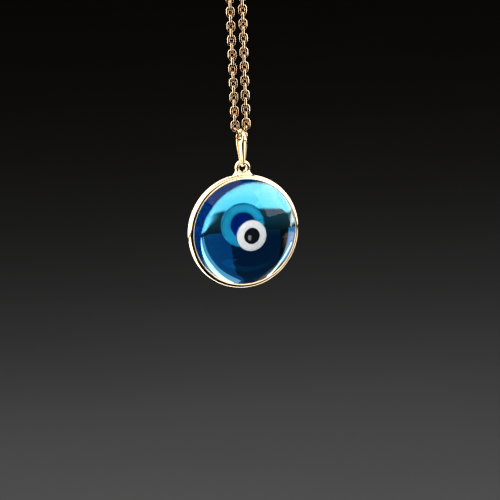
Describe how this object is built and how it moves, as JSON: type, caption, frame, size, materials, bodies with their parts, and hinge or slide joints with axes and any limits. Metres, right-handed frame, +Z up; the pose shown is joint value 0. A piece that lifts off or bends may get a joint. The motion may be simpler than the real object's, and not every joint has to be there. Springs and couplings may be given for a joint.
{
  "type": "evil eye pendant",
  "caption": "Domed blue glass evil eye in a gold rim, hung by a lug and tapered bail from a fine cable chain that ends in a spring ring clasp.",
  "frame": {"origin": "where the inside top of the clasp ring hangs on its support", "axes": "+Z up along the hanging chain, the eye faces -Y, +X to the right as seen from the front"},
  "size_m": [0.0135, 0.0066, 0.0436],
  "materials": {
    "gold": "polished gold",
    "spring_steel": "bright spring wire",
    "blue_glass": "clear polished",
    "white_glass": "opaque polished",
    "black_glass": "opaque polished",
    "turquoise_glass": "opaque polished",
    "cobalt_glass": "opaque polished"
  },
  "bodies": {
    "clasp": {"clasp_ring": "gold", "clasp_eye": "gold", "clasp_spring": "spring_steel"},
    "trigger": {"clasp_trigger": "gold"},
    "left_ring": {"jump_ring": "gold"},
    "right_ring": {"end_ring": "gold"},
    "links_01": {"left_link_01": "gold", "right_link_01": "gold"},
    "links_02": {"left_link_02": "gold", "right_link_02": "gold"},
    "links_03": {"left_link_03": "gold", "right_link_03": "gold"},
    "links_04": {"left_link_04": "gold", "right_link_04": "gold"},
    "links_05": {"left_link_05": "gold", "right_link_05": "gold"},
    "links_06": {"left_link_06": "gold", "right_link_06": "gold"},
    "links_07": {"left_link_07": "gold", "right_link_07": "gold"},
    "links_08": {"left_link_08": "gold", "right_link_08": "gold"},
    "links_09": {"left_link_09": "gold", "right_link_09": "gold"},
    "links_10": {"left_link_10": "gold", "right_link_10": "gold"},
    "links_11": {"left_link_11": "gold", "right_link_11": "gold"},
    "links_12": {"left_link_12": "gold", "right_link_12": "gold"},
    "links_13": {"left_link_13": "gold", "right_link_13": "gold"},
    "links_14": {"left_link_14": "gold", "right_link_14": "gold"},
    "links_15": {"left_link_15": "gold", "right_link_15": "gold"},
    "links_16": {"left_link_16": "gold", "right_link_16": "gold"},
    "links_17": {"left_link_17": "gold", "right_link_17": "gold"},
    "links_18": {"left_link_18": "gold", "right_link_18": "gold"},
    "links_19": {"left_link_19": "gold", "right_link_19": "gold"},
    "links_20": {"left_link_20": "gold", "right_link_20": "gold"},
    "cradle": {"cradle_link": "gold"},
    "bail": {"bail": "gold"},
    "pendant": {"lens": "blue_glass", "eye_white": "white_glass", "pupil": "black_glass", "back_halo": "turquoise_glass", "back_iris": "cobalt_glass", "rim": "gold", "lug": "gold"}
  },
  "joints": [
    {"name": "trigger_pull", "type": "hinge", "parent": "clasp", "child": "trigger", "pos_m": [0, 0, -0.00135], "axis": [0, -1, 0], "range_deg": [0, 45], "stiffness_Nm_per_rad": 0.002, "springref_deg": -17.19, "deforming": ["clasp_spring"]},
    {"name": "left_ring_swing", "type": "hinge", "parent": "clasp", "child": "left_ring", "pos_m": [-0.00075, 0, -0.0053], "axis": [1, 0, 0], "range_deg": [-12, 12]},
    {"name": "right_ring_swing", "type": "hinge", "parent": "clasp", "child": "right_ring", "pos_m": [0.00075, 0, -0.0032], "axis": [1, 0, 0], "range_deg": [-8, 8]},
    {"name": "link_01_swing", "type": "hinge", "parent": "left_ring", "child": "links_01", "pos_m": [0, 0, -0.00612], "axis": [1, 0, 0], "range_deg": [-6, 6]},
    {"name": "link_02_swing", "type": "hinge", "parent": "links_01", "child": "links_02", "pos_m": [0, 0, -0.00727], "axis": [1, 0, 0], "range_deg": [-6, 6]},
    {"name": "link_03_swing", "type": "hinge", "parent": "links_02", "child": "links_03", "pos_m": [0, 0, -0.00784], "axis": [1, 0, 0], "range_deg": [-6, 6]},
    {"name": "link_04_swing", "type": "hinge", "parent": "links_03", "child": "links_04", "pos_m": [0, 0, -0.00899], "axis": [1, 0, 0], "range_deg": [-6, 6]},
    {"name": "link_05_swing", "type": "hinge", "parent": "links_04", "child": "links_05", "pos_m": [0, 0, -0.00956], "axis": [1, 0, 0], "range_deg": [-6, 6]},
    {"name": "link_06_swing", "type": "hinge", "parent": "links_05", "child": "links_06", "pos_m": [0, 0, -0.01071], "axis": [1, 0, 0], "range_deg": [-6, 6]},
    {"name": "link_07_swing", "type": "hinge", "parent": "links_06", "child": "links_07", "pos_m": [0, 0, -0.01128], "axis": [1, 0, 0], "range_deg": [-6, 6]},
    {"name": "link_08_swing", "type": "hinge", "parent": "links_07", "child": "links_08", "pos_m": [0, 0, -0.01243], "axis": [1, 0, 0], "range_deg": [-6, 6]},
    {"name": "link_09_swing", "type": "hinge", "parent": "links_08", "child": "links_09", "pos_m": [0, 0, -0.013], "axis": [1, 0, 0], "range_deg": [-6, 6]},
    {"name": "link_10_swing", "type": "hinge", "parent": "links_09", "child": "links_10", "pos_m": [0, 0, -0.01415], "axis": [1, 0, 0], "range_deg": [-6, 6]},
    {"name": "link_11_swing", "type": "hinge", "parent": "links_10", "child": "links_11", "pos_m": [0, 0, -0.01472], "axis": [1, 0, 0], "range_deg": [-6, 6]},
    {"name": "link_12_swing", "type": "hinge", "parent": "links_11", "child": "links_12", "pos_m": [0, 0, -0.01587], "axis": [1, 0, 0], "range_deg": [-6, 6]},
    {"name": "link_13_swing", "type": "hinge", "parent": "links_12", "child": "links_13", "pos_m": [0, 0, -0.01644], "axis": [1, 0, 0], "range_deg": [-6, 6]},
    {"name": "link_14_swing", "type": "hinge", "parent": "links_13", "child": "links_14", "pos_m": [0, 0, -0.01759], "axis": [1, 0, 0], "range_deg": [-6, 6]},
    {"name": "link_15_swing", "type": "hinge", "parent": "links_14", "child": "links_15", "pos_m": [0, 0, -0.01816], "axis": [1, 0, 0], "range_deg": [-6, 6]},
    {"name": "link_16_swing", "type": "hinge", "parent": "links_15", "child": "links_16", "pos_m": [0, 0, -0.01931], "axis": [1, 0, 0], "range_deg": [-6, 6]},
    {"name": "link_17_swing", "type": "hinge", "parent": "links_16", "child": "links_17", "pos_m": [0, 0, -0.01988], "axis": [1, 0, 0], "range_deg": [-6, 6]},
    {"name": "link_18_swing", "type": "hinge", "parent": "links_17", "child": "links_18", "pos_m": [0, 0, -0.02103], "axis": [1, 0, 0], "range_deg": [-6, 6]},
    {"name": "link_19_swing", "type": "hinge", "parent": "links_18", "child": "links_19", "pos_m": [0, 0, -0.0216], "axis": [1, 0, 0], "range_deg": [-6, 6]},
    {"name": "link_20_swing", "type": "hinge", "parent": "links_19", "child": "links_20", "pos_m": [0, 0, -0.02275], "axis": [1, 0, 0], "range_deg": [-6, 6]},
    {"name": "cradle_roll", "type": "hinge", "parent": "links_20", "child": "cradle", "pos_m": [0.00009, 0, -0.02319], "axis": [0.955, 0, 0.2967], "range_deg": [-10, 10]},
    {"name": "bail_swing", "type": "hinge", "parent": "cradle", "child": "bail", "pos_m": [0.00004, 0, -0.02319], "axis": [0.955, 0, 0.2967], "range_deg": [-22, 22]},
    {"name": "pendant_sway", "type": "hinge", "parent": "bail", "child": "pendant", "pos_m": [0.00004, 0, -0.0271], "axis": [0.314, -0.9494, 0], "range_deg": [-20, 20]}
  ],
  "couplings": [
    {"joint": "right_ring_swing", "follows": "left_ring_swing", "ratio": 0.3982}
  ]
}
